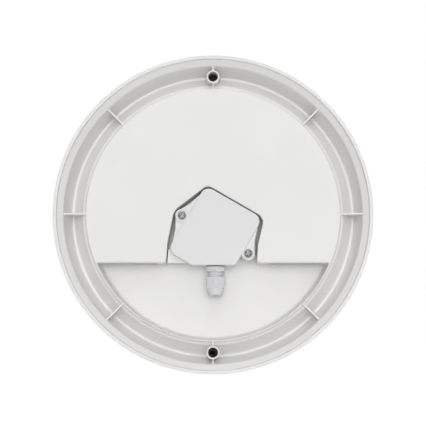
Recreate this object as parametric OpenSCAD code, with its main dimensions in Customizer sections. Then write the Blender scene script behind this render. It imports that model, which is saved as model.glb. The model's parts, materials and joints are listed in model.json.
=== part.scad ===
// Round surface-mounted extractor fan, seen from its wall side first:
// a deep moulded rear housing with a ribbed annular channel, a terminal box
// with cable gland let into its back, a motor-driven centrifugal impeller and
// a domed front cover with a ring grille.
//
// Working frame of every module: x across, y up, z = depth from the wall.
// frame() turns that into the part's own frame: +Z up, the wall plane at
// Y = 0 and the room towards -Y. Origin: fan axis on the wall plane.
//
// Name endings: _r radius, _d diameter, _w width, _t thickness, _x _y _z place.

/* [Housing] */
// Radius of the housing's rim, which lies flat on the wall
rim_r = 150; // [149:0.5:152]
// Width of the flat ring face that touches the wall
rim_face = 3.0; // [2:0.5:4]
// Radius of the central disc at its rear edge
disc_r = 120; // [119:0.5:120.5]
// Depth of the central disc's rear face below the wall plane
disc_z = 8; // [7:0.5:8.5]
// Depth of the annular channel's floor
channel_z = 28; // [27:0.5:29]
// Moulded wall thickness
wall = 2.5; // [2:0.1:2.8]
// Thickness of the radial ribs in the channel
rib_t = 1.4; // [1:0.1:3]
// Number of radial ribs in the channel
rib_count = 8; // [8:8:16]
// Height of the straight step below the fan axis
chord_y = 46.4; // [46:0.1:47]
// Depth of the lower recess floor
recess_z = 30; // [29.5:0.5:30.5]

/* [Wall fixing] */
// Distance between the two wall screw bosses
fix_spacing = 260; // [259:0.5:261]
// Outside diameter of a screw boss
boss_d = 12.8; // [12:0.1:14]
// Bore of a screw boss
boss_bore = 9.3; // [9:0.1:9.8]
// Clearance hole for the wall screw
fix_hole = 5.5; // [4.5:0.1:6]

/* [Terminal box] */
// Terminal box centre across
box_x = -1.9; // [-3:0.1:-1]
// Terminal box centre up
box_y = -19.7; // [-20:0.1:-19]
// Turn of the terminal box about the fan axis direction
box_turn = 30; // [29:0.5:31]
// Width of the lid panel along the line of its screws
box_w = 62; // [61:0.5:62.5]
// Length of the lid panel across the line of its screws
box_l = 71.5; // [70.5:0.5:72]
// Height of the flat facet that carries the cable gland, below the fan axis
facet_y = 48.4; // [48:0.1:49]
// Lid screw distance from the box centre
lid_screw_u = 36; // [35.5:0.1:36.5]

/* [Air side] */
// Impeller outside radius
impeller_r = 70; // [66:0.5:74]
// Number of impeller blades
blade_count = 9; // [5:1:11]
// Radius of the impeller eye
eye_r = 47; // [45:0.5:48]
// Overall depth from the wall to the front of the cover
depth = 80; // [79:0.5:82]
// Number of grille rings
ring_count = 8; // [5:1:8]
// Number of grille spokes
spoke_count = 8; // [6:1:12]

/* [Hidden] */
$fn = 96;
overlap = 0.01;

steel = [0.7, 0.71, 0.72];
gland_metal = [0.80, 0.81, 0.82];
bearing_bronze = [0.70, 0.55, 0.35];
flap_grey = [0.75, 0.75, 0.74];

// Depths and places shared by several pieces
disc_front_z = disc_z + wall;
recess_front_z = recess_z + wall;
skirt_z = 52.5;
bridge_z = 38;
diagonals = [45, 135, 225, 315];
post_r = 95;
plate_screw_r = 123.5;
plate_screw_angles = [15, 165, 195, 345];

// ---------------------------------------------------------------- outlines
arc_steps = 6;
function unit(v) = v / norm(v);
function wrap(a) = a > 180 ? a - 360 : a < -180 ? a + 360 : a;
function cyclic(list, i) = list[(i + len(list)) % len(list)];
function flat(corner) = [corner[0], corner[1]];

// points of the arc that rounds one corner between its two neighbours
function corner_arc(corner, before, after, radius) =
    let (to_before = unit(before - corner),
         to_after = unit(after - corner),
         half = acos(to_before * to_after) / 2,
         centre = corner + unit(to_before + to_after) * radius / sin(half),
         first = corner + to_before * radius / tan(half) - centre,
         last = corner + to_after * radius / tan(half) - centre,
         start = atan2(first[1], first[0]),
         sweep = wrap(atan2(last[1], last[0]) - start))
    [for (k = [0:arc_steps])
        let (a = start + sweep * k / arc_steps)
        centre + radius * [cos(a), sin(a)]];

// outline from corners [x, y, corner radius]; radius 0 leaves a corner sharp
function rounded(corners) = [for (i = [0:len(corners) - 1])
    let (corner = flat(corners[i]), radius = corners[i][2])
    each (radius <= 0 ? [corner] :
        corner_arc(corner, flat(cyclic(corners, i - 1)), flat(cyclic(corners, i + 1)), radius))];

// mitred offset of counter-clockwise corners [x, y, radius, radius change per unit of offset]
function side_normal(a, b) = let (u = unit(b - a)) [u[1], -u[0]];
function grown(corners, by) = [for (i = [0:len(corners) - 1])
    let (corner = flat(corners[i]),
         before = side_normal(flat(cyclic(corners, i - 1)), corner),
         after = side_normal(corner, flat(cyclic(corners, i + 1))))
    concat(corner + (before + after) * by / (1 + before * after),
        corners[i][2] + corners[i][3] * by)];

// a point of the terminal box's own frame (u towards the upper screw, v across)
function box_point(u, v) = [
    box_x + u * cos(box_turn) - v * sin(box_turn),
    box_y + u * sin(box_turn) + v * cos(box_turn)];
function box_points(places) = [for (p = places) box_point(p[0], p[1])];

// ---------------------------------------------------------------- shapes and placing
module frame() rotate([90, 0, 0]) children();

// round bar, ring and extruded outline between two depths
module rod(radius, z0, z1) translate([0, 0, z0]) cylinder(r = radius, h = z1 - z0);
module tube(radius, bore_r, z0, z1) translate([0, 0, z0]) difference() {
    cylinder(r = radius, h = z1 - z0);
    translate([0, 0, -1]) cylinder(r = bore_r, h = z1 - z0 + 2);
}
module slab(z0, z1) translate([0, 0, z0]) linear_extrude(z1 - z0) children();
// upright plate along a radius; its outline is given as [radius, depth]
module radial_plate(thickness)
    rotate([90, 0, 0]) translate([0, 0, -thickness / 2]) linear_extrude(thickness) children();

function even_angles(count) = [for (k = [0:count - 1]) k * 360 / count];
module around(angles, radius = 0)
    for (a = angles) rotate([0, 0, a]) translate([radius, 0, 0]) children();
module at_fixings() for (s = [-1, 1]) translate([0, s * fix_spacing / 2, 0]) children();
module at_box(u, v, z = 0) translate(concat(box_point(u, v), z)) children();

// cross recess of a screw head
module cross_slot(length, width, z)
    around([0, 90]) translate([-length / 2, -width / 2, z]) cube([length, width, 2]);
module cross_screw(tip_z, head_z) difference() {
    union() {
        rod(1.7, tip_z, head_z);
        rod(3.4, head_z, head_z + 2.2);
    }
    cross_slot(4, 0.8, head_z + 1.2);
}

// ---------------------------------------------------------------- rear housing
lip_r = rim_r - rim_face;
// half section of the shell: [radius, depth, corner radius]
housing_corners = [
    [0, disc_z, 0], [disc_r, disc_z, 1.4],
    [132.2, channel_z, 1.2], [134.4, channel_z, 1.8], [140.6, 5.4, 3.0],
    [lip_r - 0.6, 2.2, 0.8], [lip_r, 0, 0.6], [rim_r, 0, 0.6], [rim_r, wall, 0.4],
    [lip_r - 1.5, wall + 1.4, 0.8], [143.3, 7.2, 2.0], [136.8, channel_z + 3, 1.5],
    [136.4, skirt_z, 0.4], [131.6, skirt_z, 0.4], [131.6, skirt_z - 2.5, 0],
    [133.9, skirt_z - 5, 0], [133.6, channel_z + wall + 1, 1], [130.6, channel_z + wall, 1],
    [disc_r - 1.4, disc_front_z, 0.8], [0, disc_front_z, 0]];

// pocket of the terminal box: [x, y, corner radius, radius change when grown]
// (1 at an outer corner, -1 at the inner one, 0 at a sharp one)
pocket_corners = [
    concat(box_point(-32.1, 36.9), [9, 1]),
    [-41.9, -29, 10, -1],
    [-41.0, -chord_y - 6, 0, 0],
    [44.0, -chord_y - 6, 0, 0],
    concat(box_point(34.9, -28.6), [8, 1]),
    concat(box_point(43.6, -2.5), [7, 1]),
    concat(box_point(43.6, 3), [7, 1]),
    [5.1, 27.2, 7, 1]];
module pocket2d(grow = 0) polygon(rounded(grown(pocket_corners, grow)));

// lower recess: the part of the disc below the straight step
recess_r = disc_r - 1.2;
module recess2d(grow = 0) intersection() {
    circle(r = recess_r + grow, $fn = 180);
    translate([-200, -300 - chord_y + grow * 1.36]) square([400, 300]);
}

// outlet windows in the step, one on each side, with a hinged flap in each
window_x0 = 51.6;
window_x1 = 102;
window_w = window_x1 - window_x0;
window_starts = [window_x0, -window_x1];
hinge_y = -chord_y + 1.7;
hinge_z = 27;
// bar on the hinge line that runs past both window ends by overhang
module hinge_bar(start_x, radius, overhang)
    translate([start_x - overhang, hinge_y, hinge_z]) rotate([0, 90, 0])
        cylinder(r = radius, h = window_w + 2 * overhang, $fn = 48);

// passage for the motor leads, and the screws that hold the box to the housing
lead_u = 23.5;
lead_v = 16;
module lead_passage() at_box(lead_u, lead_v) rod(3.6, 25, 36);
module at_box_screws() {
    at_box(-20, 26) children();
    at_box(14, -20) children();
}

module housing_shell() difference() {
    rotate_extrude($fn = 180) polygon(rounded(housing_corners));
    slab(disc_z - 3, disc_z + 9) {
        recess2d();
        pocket2d();
    }
}
// walls and floor of the lower recess and of the terminal box pocket
module recess_walls() difference() {
    union() {
        slab(disc_z + 0.4, recess_front_z) pocket2d(wall);
        slab(disc_z + 0.4, disc_z + 8.4) intersection() {
            recess2d(wall);
            circle(r = disc_r - 0.4, $fn = 180);
        }
        slab(disc_z + 5.8, recess_front_z) recess2d(wall);
    }
    slab(disc_z - 3, recess_z) {
        recess2d();
        pocket2d();
    }
}
module channel_ribs() around(even_angles(rib_count)) radial_plate(rib_t)
    polygon([[disc_r - 1, disc_z + 0.2], [141, 6],
        [141 - 5.4, channel_z + 1.2], [disc_r + 11.6, channel_z + 1.2]]);
module bridge_posts() for (a = diagonals) around([a], post_r)
    rod(5, (a < 180 ? disc_front_z : recess_front_z) - 0.5, bridge_z);
module plate_bosses() {
    around(plate_screw_angles, plate_screw_r) rod(4.2, 32, skirt_z);
    around(plate_screw_angles) radial_plate(2) polygon([[plate_screw_r, 32], [127, 32],
        [135, 36], [135, skirt_z], [plate_screw_r, skirt_z]]);
}
module capacitor_seat() translate([-22, 62, disc_front_z - 0.5]) difference() {
    cube([44, 20, 3.5]);
    translate([2, 2, 0.5]) cube([40, 16, 4]);
}

module rear_housing() color([0.93, 0.93, 0.92]) frame() difference() {
    union() {
        housing_shell();
        recess_walls();
        channel_ribs();
        at_fixings() rod(boss_d / 2, 1.2, skirt_z);
        bridge_posts();
        plate_bosses();
        capacitor_seat();
    }
    at_fixings() {
        rod(boss_bore / 2, -1, skirt_z - 2.5);
        rod(fix_hole / 2, skirt_z - 4, skirt_z + 1);
    }
    around(diagonals, post_r) rod(1.75, 33.2, bridge_z + 1);
    around(plate_screw_angles, plate_screw_r) rod(1.75, 40, skirt_z + 1);
    for (x = window_starts) {
        translate([x, -chord_y - 1, 12.4]) cube([window_w, 6, 16.4]);
        hinge_bar(x, 1.05, 3);
    }
    lead_passage();
    at_box_screws() rod(1.6, 25, 36);
}

// bushes in the bores of the wall screw bosses
module wall_bushes() color([0.16, 0.16, 0.17]) frame()
    at_fixings() tube(boss_bore / 2 - 0.05, 2.85, 12, 20);

// ---------------------------------------------------------------- terminal box
lid_z = 5.6;
gasket_z = 9.7;
box_rim_z = 10.4;
box_floor_z = recess_z - 2;
half_w = box_w / 2;
panel_corner_r = 8;
ear_r = 6.3;

module above_facet2d(inset = 0) translate([-100, -facet_y + inset]) square([200, 200]);
// lid panel: a rounded rectangle cut off straight at the gland facet
module panel2d(inset = 0) intersection() {
    u = half_w - inset;
    v = box_l / 2 - inset;
    polygon(rounded([for (p = box_points([[-u, -v], [u, -v], [u, v], [-u, v]]))
        concat(p, panel_corner_r - inset)]));
    above_facet2d(inset);
}
module at_lid_screws() for (s = [-1, 1]) at_box(s * lid_screw_u, 0) children();
// an ear round each lid screw, with webs that run out along the panel's long sides
module ears2d() {
    at_lid_screws() circle(r = ear_r);
    polygon(box_points([[24, -27], [half_w - 0.1, -27], [half_w + 1.8, -21],
        [half_w + 4, -14], [lid_screw_u + 5.6, -2.2], [lid_screw_u + 5.6, 2.2],
        [half_w + 4, 14], [half_w + 1.8, 21], [half_w - 0.1, 27], [24, 27]]));
    polygon(box_points([[-24, 27], [-half_w + 0.1, 27], [-half_w - 1.8, 21],
        [-half_w - 4, 14], [-lid_screw_u - 5.6, 2.2], [-lid_screw_u, -2], [-24, -8]]));
}
module flange2d() intersection() {
    union() {
        panel2d();
        ears2d();
    }
    above_facet2d();
}

module terminal_box() color([0.90, 0.90, 0.89]) frame() difference() {
    union() {
        slab(box_rim_z, recess_z) flange2d();
        // corner piece that closes the pocket beside the cable gland
        slab(box_rim_z, recess_z) polygon([[36, -30], [41.9, -33.5],
            [42.9, -chord_y + 0.4], [24.6, -chord_y + 0.4], [24, -40]]);
    }
    slab(box_rim_z - 1, box_floor_z) panel2d(2.4);
    at_lid_screws() rod(2.05, 9, 25);
    gland_axis() rod(6.25, -5, 2);
    lead_passage();
    at_box_screws() rod(1.7, 25, 36);
}
module box_screws() color(steel) frame() at_box_screws() difference() {
    union() {
        rod(2.9, box_floor_z - 1.8, box_floor_z);
        rod(1.6, box_floor_z, 33.6);
    }
    translate([-2, -0.3, 25.6]) cube([4, 0.6, 1.4]);
}
module lid_gasket() color([0.12, 0.12, 0.12]) frame() slab(gasket_z, box_rim_z) difference() {
    panel2d(0.5);
    panel2d(1.9);
}
module terminal_lid() color([0.885, 0.885, 0.88]) frame() difference() {
    union() {
        slab(7.6, gasket_z) flange2d();
        slab(lid_z, lid_z + 2.4) panel2d();
        at_lid_screws() rod(ear_r, 6.2, 8);
    }
    at_lid_screws() {
        rod(4.15, 0, 8.4);
        rod(2.2, 8, 11);
    }
}
module lid_screws() color([0.45, 0.46, 0.47]) frame()
    for (s = [-1, 1]) at_box(s * lid_screw_u, 0) difference() {
        union() {
            rotate_extrude($fn = 64)
                polygon(rounded([[0, 6.1, 0], [3.3, 6.1, 1.1], [3.3, 8.4, 0.2], [0, 8.4, 0]]));
            rod(2.0, 8.4, 22);
        }
        rotate([0, 0, 20 * s]) cross_slot(3.8, 0.9, 5.5);
    }

// terminal block: three ways, each with a wire bore and two clamp screws
block_u = -3;
block_z = 19;
block_l = 28;
way_pitch = 8.6;
wire_z = 5.5;
module on_block() at_box(block_u, lead_v, block_z) rotate([0, 0, box_turn]) children();
module at_clamps() for (k = [-1:1], v = [-3.8, 3.8]) translate([k * way_pitch, v, 0]) children();
module terminal_block() color([0.82, 0.83, 0.84]) frame() on_block() difference() {
    translate([-block_l / 2, -7, 0]) cube([block_l, 14, 9]);
    for (k = [-1:1]) translate([k * way_pitch, -8, wire_z])
        rotate([-90, 0, 0]) cylinder(r = 1.9, h = 16, $fn = 48);
    at_clamps() translate([0, 0, -1]) cylinder(r = 1.75, h = 5.5, $fn = 48);
}
module terminal_screws() color([0.78, 0.65, 0.35]) frame() on_block()
    at_clamps() translate([0, 0, 0.6]) difference() {
        cylinder(r = 1.7, h = 3.0, $fn = 48);
        translate([-2, -0.25, -0.5]) cube([4, 0.5, 1.2]);
    }

// ---------------------------------------------------------------- cable gland
gland_x = -2.3;
gland_z = 18.5;
// on the gland's axis, local z is the distance below the facet
module gland_axis() translate([gland_x, -facet_y, gland_z]) rotate([90, 0, 0]) children();
module hexbar(across_flats, z0, z1) translate([0, 0, z0]) rotate([0, 0, 30])
    cylinder(r = across_flats / 2 / cos(30), h = z1 - z0, $fn = 6);

module gland_body() color(gland_metal) frame() gland_axis() difference() {
    union() {
        rod(6.1, -6.6, 16.4);
        hexbar(17, 0.8, 5.6);
        rod(6.9, 5, 10);
    }
    rod(4.2, -8, 18);
}
module gland_seal() color([0.1, 0.1, 0.1]) frame() gland_axis() difference() {
    rod(8.0, 0, 0.8);
    rod(6.15, -1, 2);
}
module gland_locknut() color(gland_metal) frame() gland_axis() difference() {
    hexbar(15, -5.8, -2.4);
    rod(6.15, -8, 0);
}
module gland_nut() color(gland_metal) frame() gland_axis() difference() {
    union() {
        hexbar(15.6, 10.4, 21.4);
        translate([0, 0, 10]) rotate_extrude() polygon(rounded([[0, 0.4, 0], [7.7, 0.4, 0.3],
            [7.8, 12.6, 1.5], [7.5, 14.2, 2], [6.6, 17.7, 1.6], [0, 17.7, 0]]));
    }
    rod(6.18, 9, 17.0);
    translate([0, 0, 16.9]) cylinder(r1 = 6.18, r2 = 5.2, h = 8.4);
    rod(4.4, 20, 30);
}
module gland_insert() color([0.2, 0.2, 0.21]) frame() gland_axis() difference() {
    translate([0, 0, 16.6]) cylinder(r1 = 5.9, r2 = 4.95, h = 8.2);
    rod(3.2, 15, 30);
}

// ---------------------------------------------------------------- leads and capacitor
module lead_grommet() color([0.13, 0.13, 0.13]) frame() at_box(lead_u, lead_v) difference() {
    union() {
        rod(4.3, box_floor_z - 0.8, box_floor_z);
        rod(3.55, box_floor_z, recess_front_z);
        rod(4.3, recess_front_z, recess_front_z + 0.9);
    }
    rod(2.85, 26, 35);
}
// three leads, each a run from the terminal block and a run through the grommet
module motor_leads() color([0.55, 0.12, 0.1]) frame() for (k = [-1:1]) {
    v = lead_v + k * 1.8;
    at_box(lead_u, v, block_z + wire_z) cylinder(r = 0.75, h = 17.2, $fn = 32);
    at_box(block_u + block_l / 2 + 0.2, v, block_z + wire_z)
        rotate([0, 0, box_turn]) rotate([0, 90, 0]) cylinder(r = 0.85, h = 13.2, $fn = 32);
}

capacitor_h = 22;
module at_capacitor_pins(z) for (x = [-6, 6]) translate([x, 72, z]) children();
module run_capacitor() color([0.2, 0.22, 0.26]) frame() {
    translate([-19.8, 64.2, disc_front_z]) cube([39.6, 15.6, capacitor_h]);
    at_capacitor_pins(disc_front_z + capacitor_h - overlap) cylinder(r = 0.8, h = 7, $fn = 32);
}
module capacitor_clip() color(steel) frame() difference() {
    translate([-4, 62.9, disc_front_z + 3.1]) cube([8, 18.2, 20.1]);
    translate([-5, 64.15, disc_front_z]) cube([10, 15.7, capacitor_h + 0.05]);
    at_capacitor_pins(disc_z) cylinder(r = 1.2, h = 40, $fn = 32);
}

// ---------------------------------------------------------------- motor
bridge_t = 3;
bridge_front_z = bridge_z + bridge_t;
bearing_r = 4.5;
bearing_bore_r = 2.55;
bearing_rear_z = 39.5;
bearing_front_z = 57;
shaft_r = 2.5;
rotor_z0 = 43.2;
rotor_z1 = 61;

// plate with four arms and a central tube that holds both bearings
module motor_bridge() color([0.62, 0.63, 0.65]) frame() difference() {
    union() {
        rod(31, bridge_z, bridge_front_z);
        rod(8.9, 34.6, bridge_z + 0.5);
        around(diagonals) {
            translate([20, -7, bridge_z]) cube([post_r - 20, 14, bridge_t]);
            translate([28, -1, bridge_z - 2.6]) cube([post_r - 36, 2, 3]);
        }
        around(diagonals, post_r) rod(7, bridge_z, bridge_front_z);
        rod(6.5, bridge_z, bearing_front_z);
    }
    rod(bearing_r, bearing_rear_z, bearing_front_z + 1);
    rod(6, 30, bearing_rear_z);
    around(diagonals, post_r) rod(2.0, bridge_z - 5, bridge_z + 5);
    at_box(lead_u, lead_v) rod(3.0, 30, 45);
}
module bridge_screws() color(steel) frame()
    around(diagonals, post_r) cross_screw(33.6, bridge_front_z);

stator_z = 44.5;
stator_h = 11;
poles = even_angles(8);
// hub, pole teeth and an outer ring split between the poles
module stator_core() color([0.45, 0.45, 0.47]) frame() slab(stator_z, stator_z + stator_h) {
    difference() {
        circle(r = 10);
        circle(r = 6.5);
    }
    around(poles) translate([9.5, -1.4]) square([11, 2.8]);
    difference() {
        circle(r = 22.2);
        circle(r = 19.6);
        rotate([0, 0, 22.5]) around(poles) translate([15, -0.9]) square([10, 1.8]);
    }
}
// one coil on each tooth, trimmed on both sides to its own sector
module stator_windings() color([0.72, 0.40, 0.18]) frame() around(poles) difference() {
    translate([11.5, -3.2, stator_z - 2.4]) cube([7.6, 6.4, 15.8]);
    translate([9, -1.42, stator_z - 0.02]) cube([12, 2.84, stator_h + 0.04]);
    for (s = [-1, 1]) rotate([0, 0, s * 22.5])
        translate([5, s > 0 ? -0.2 : -9.8, stator_z - 5]) cube([20, 10, 25]);
}
module bearing_front() color(bearing_bronze) frame()
    tube(bearing_r, bearing_bore_r, 50.5, bearing_front_z);
module bearing_rear() color(bearing_bronze) frame()
    tube(bearing_r, bearing_bore_r, bearing_rear_z, 45.5);
module thrust_washer() color([0.85, 0.80, 0.6]) frame() tube(4.3, 2.7, 38.8, bearing_rear_z);
module motor_shaft() color([0.75, 0.76, 0.78]) frame() difference() {
    rod(shaft_r, 36.4, rotor_z1);
    // groove of the shaft clip
    tube(4, 2.0, 37.9, 38.7);
}
module shaft_clip() color([0.3, 0.3, 0.32]) frame() slab(38.0, 38.6) difference() {
    circle(r = 4.2, $fn = 48);
    circle(r = 2.02, $fn = 48);
    translate([0, -1.7]) square([6, 3.4]);
}
module rotor_cup() color([0.5, 0.5, 0.52]) frame() difference() {
    union() {
        tube(27, 25.5, rotor_z0, rotor_z1);
        rod(26.5, rotor_z1 - 1.5, rotor_z1);
        rod(6, 57.6, 60);
    }
    rod(shaft_r, 50, 62);
    around(even_angles(6), 15) rod(3, 58, 63);
}
module rotor_cage() color([0.68, 0.69, 0.70]) frame() tube(25.5, 22.6, 44.3, 55.7);

// ---------------------------------------------------------------- impeller
// one curved blade: an arc strip kept between the hub and the impeller's edge
module blade2d() intersection() {
    difference() {
        circle(r = impeller_r - 0.5, $fn = 120);
        circle(r = 37, $fn = 120);
    }
    translate([34, -22]) difference() {
        circle(r = 36, $fn = 120);
        circle(r = 34.4, $fn = 120);
    }
    rotate(-32.9) square([90, 90]);
}
module impeller() color([0.86, 0.87, 0.88]) frame() {
    // hub, back plate, blades and front shroud
    tube(29, 27, rotor_z0, rotor_z1);
    tube(impeller_r, 28.5, rotor_z0, rotor_z0 + 2);
    around(even_angles(blade_count)) slab(45 - overlap, 60.5 - overlap) blade2d();
    rotate_extrude() polygon([[eye_r, 62.6], [eye_r, 64.4], [eye_r + 1.6, 64.4],
        [eye_r + 3, 62], [impeller_r, 60.6], [impeller_r, 59], [eye_r + 2, 60.4]]);
}

// ---------------------------------------------------------------- air inlet and flaps
plate_front_z = skirt_z + 2.5;
socket_r = 125;
// half section of the inlet plate: [radius, depth, corner radius]
inlet_corners = [
    [137, skirt_z, 0.3], [117, skirt_z, 2], [103.5, 67.9, 3], [46.4, 67.9, 4],
    [46.4, 60.9, 0.5], [44.8, 60.9, 0.5], [44.8, 70.2, 6], [104.6, 70.2, 2],
    [119, plate_front_z, 2], [137, plate_front_z, 0.3]];
module inlet_plate() color([0.88, 0.88, 0.87]) frame() difference() {
    union() {
        rotate_extrude($fn = 160) polygon(rounded(inlet_corners));
        around(diagonals, socket_r) rod(5, 53, 64);
    }
    around(diagonals, socket_r) rod(3.08, plate_front_z, 66);
    around(plate_screw_angles, plate_screw_r) rod(2.0, 50, 58);
    at_fixings() rod(5.4, 50, 58);
}
module inlet_screws() color(steel) frame()
    around(plate_screw_angles, plate_screw_r) cross_screw(42, plate_front_z);

flap_gap = 0.35;
flap_z = 12.9;
module flap(start_x) {
    translate([start_x + flap_gap, hinge_y - 0.8, flap_z])
        cube([window_w - 2 * flap_gap, 1.6, hinge_z - flap_z]);
    hinge_bar(start_x, 1.5, -flap_gap);
    hinge_bar(start_x, 1.0, 2.6);
}
// left and right as seen from the wall side
module flap_left() color(flap_grey) frame() flap(window_starts[0]);
module flap_right() color(flap_grey) frame() flap(window_starts[1]);

// ---------------------------------------------------------------- front cover
cover_r = rim_r - 0.4;
cover_t = 2.4;
crown_r = 96;
crown_z = 40;
grille_r0 = 26;
grille_r1 = 94;
ring_w = 3.2;
ring_pitch = (grille_r1 - grille_r0) / ring_count;
spoke_w = 3.6;

// one superellipse quarter of the cover's shoulder, set in from its outside
function shoulder(inset) = [for (t = [0:5:90]) [
    crown_r + (cover_r - crown_r - inset) * pow(cos(t), 0.87),
    crown_z + (depth - 2 - crown_z - inset) * pow(sin(t), 0.87)]];
module cover_profile() {
    inner = shoulder(cover_t);
    polygon(concat([[cover_r, 2.75]], shoulder(0), [[0, depth - 1], [0, depth - 1 - cover_t]],
        [for (i = [len(inner) - 1:-1:0]) inner[i]], [[cover_r - cover_t, 3.5]]));
}
module grille_slots() difference() {
    for (k = [0:ring_count - 1])
        tube(grille_r0 + ring_pitch * (k + 1) - ring_w, grille_r0 + ring_pitch * k, 60, 90);
    around(even_angles(spoke_count)) translate([20, -spoke_w / 2, 50]) cube([80, spoke_w, 50]);
}
// pegs that enter the inlet plate's sockets; their wide parts end inside the cover's wall
module cover_pegs() {
    around(diagonals, socket_r) rod(3.0, 56.5, 66);
    mid = cover_t / 2;
    intersection() {
        around(diagonals, socket_r) rod(4.6, 64.4, depth);
        rotate_extrude() polygon(concat([[0, 10], [cover_r - mid, 10]], shoulder(mid),
            [[0, depth - 1 - mid]]));
    }
}
module front_cover() color([0.95, 0.95, 0.94]) frame() {
    difference() {
        rotate_extrude($fn = 160) cover_profile();
        grille_slots();
    }
    // central disc of the grille
    rotate_extrude() polygon(rounded([[0, depth - 3, 0], [22, depth - 3, 0],
        [22, depth - 0.6, 1], [20, depth, 2], [0, depth, 0]]));
    cover_pegs();
}

rear_housing();
wall_bushes();
terminal_box();
box_screws();
lid_gasket();
terminal_lid();
lid_screws();
terminal_block();
terminal_screws();
gland_body();
gland_seal();
gland_locknut();
gland_nut();
gland_insert();
lead_grommet();
motor_leads();
run_capacitor();
capacitor_clip();
motor_bridge();
bridge_screws();
stator_core();
stator_windings();
bearing_front();
bearing_rear();
thrust_washer();
motor_shaft();
shaft_clip();
rotor_cup();
rotor_cage();
impeller();
inlet_plate();
inlet_screws();
flap_left();
flap_right();
front_cover();
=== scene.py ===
"""Round wall-mounted fan with a front grille, seen from its wall side.

The fan axis is world Y: the wall plane is y = 0, the grille faces -Y, and Z is up.
The shapes are drawn in millimetres: x across, y up, z = depth from the wall plane.
Here "rear" is towards the wall and "front" is away from it.
"""
import bpy, bmesh, json
from math import sin, cos, tan, pi, radians, atan2, acos, sqrt, hypot
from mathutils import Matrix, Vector
from mathutils.geometry import delaunay_2d_cdt


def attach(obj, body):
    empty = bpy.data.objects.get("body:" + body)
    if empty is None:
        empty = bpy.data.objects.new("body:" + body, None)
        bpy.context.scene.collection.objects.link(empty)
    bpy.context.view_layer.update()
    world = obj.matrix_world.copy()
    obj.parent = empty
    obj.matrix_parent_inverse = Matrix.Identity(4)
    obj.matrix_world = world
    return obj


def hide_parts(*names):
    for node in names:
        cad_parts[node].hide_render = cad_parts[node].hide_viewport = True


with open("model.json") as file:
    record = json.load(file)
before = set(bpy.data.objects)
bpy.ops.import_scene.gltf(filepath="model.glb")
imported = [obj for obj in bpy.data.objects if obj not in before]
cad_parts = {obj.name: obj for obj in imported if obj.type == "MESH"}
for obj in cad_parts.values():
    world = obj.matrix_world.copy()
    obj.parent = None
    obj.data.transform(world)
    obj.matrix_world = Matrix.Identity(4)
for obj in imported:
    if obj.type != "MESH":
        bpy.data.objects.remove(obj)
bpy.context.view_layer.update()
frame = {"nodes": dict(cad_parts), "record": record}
MM = 0.001
SCENE = bpy.context.scene

# ------------------------------------------------------------------ driving dimensions, mm
WALL = 2.5                        # wall thickness
RIM_R = 150.0                     # outer edge of the housing
DISC_R, DISC_Z = 120.0, 8.0       # flat rear disc
GROOVE_Z = 28.0                   # floor of the ring groove around the disc
SKIRT_Z = 52.5                    # front end of the housing skirt
CHORD = 46.4                      # the recess's straight upper edge is this far below the axis
RECESS_R, RECESS_Z = 118.2, 30.0  # recess arc and floor
BOX_X, BOX_Y = -1.9, -19.7        # centre of the terminal box
BOX_TURN = radians(30)
FACET_Y = -48.4                   # level bottom facet of the box
GLAND_X, GLAND_Z = -2.3, 18.5     # axis of the cable gland
FIXING_Y = 130.0                  # wall screws, above and below the axis
BRIDGE_POST_R = 95.0              # posts of the motor bridge
INLET_BOSS_R = 123.5              # bosses of the inlet plate
EAR_OFFSET = 36.0                 # lid screws, from the box centre
SIDES = (-1, 1)
DIAGONALS = (45, 135, 225, 315)
INLET_ANGLES = (15, 165, 195, 345)


# ------------------------------------------------------------------ points and outlines
def to_world(x, y, z):
    return (x * MM, -z * MM, y * MM)


def at(centre):
    """Placing function for a part whose own origin lies at centre."""
    return lambda x, y, z: to_world(centre[0] + x, centre[1] + y, z)


def on_box(across, up):
    """Point given in the turned frame of the terminal box."""
    return (BOX_X + across * cos(BOX_TURN) - up * sin(BOX_TURN),
            BOX_Y + across * sin(BOX_TURN) + up * cos(BOX_TURN))


def on_gland(x, y, z):
    """Places a point of the gland: z runs down from the box facet, x and y around its axis."""
    return to_world(GLAND_X + x, FACET_Y - z, GLAND_Z + y)


def polar(radius, degrees):
    return (radius * cos(radians(degrees)), radius * sin(radians(degrees)))


def circle(centre, radius, segments):
    angles = [2 * pi * k / segments for k in range(segments)]
    return [(centre[0] + radius * cos(a), centre[1] + radius * sin(a)) for a in angles]


def fillet(corners, segments):
    """Rounds the (x, y, radius) corners of a closed loop; radius 0 keeps a corner sharp."""
    out = []
    for i, (x, y, radius) in enumerate(corners):
        corner = Vector((x, y))
        if radius <= 0:
            out.append((corner.x, corner.y))
            continue
        back = (Vector(corners[i - 1][:2]) - corner).normalized()
        ahead = (Vector(corners[(i + 1) % len(corners)][:2]) - corner).normalized()
        half = acos(max(-1, min(1, back.dot(ahead)))) / 2
        centre = corner + (back + ahead).normalized() * (radius / sin(half))
        first = corner + back * (radius / tan(half))
        last = corner + ahead * (radius / tan(half))
        start = atan2(first.y - centre.y, first.x - centre.x)
        end = atan2(last.y - centre.y, last.x - centre.x)
        sweep = (end - start + pi) % (2 * pi) - pi
        for k in range(segments + 1):
            angle = start + sweep * k / segments
            out.append((centre.x + radius * cos(angle), centre.y + radius * sin(angle)))
    return out


def edge_counts(points, step):
    """How many pieces of about step each edge of a closed loop divides into."""
    return [max(1, int(hypot(b[0] - a[0], b[1] - a[1]) / step))
            for a, b in zip(points, points[1:] + points[:1])]


def subdivide(points, counts):
    out = []
    for a, b, count in zip(points, points[1:] + points[:1], counts):
        for j in range(count):
            out.append((a[0] + (b[0] - a[0]) * j / count, a[1] + (b[1] - a[1]) * j / count))
    return out


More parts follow.
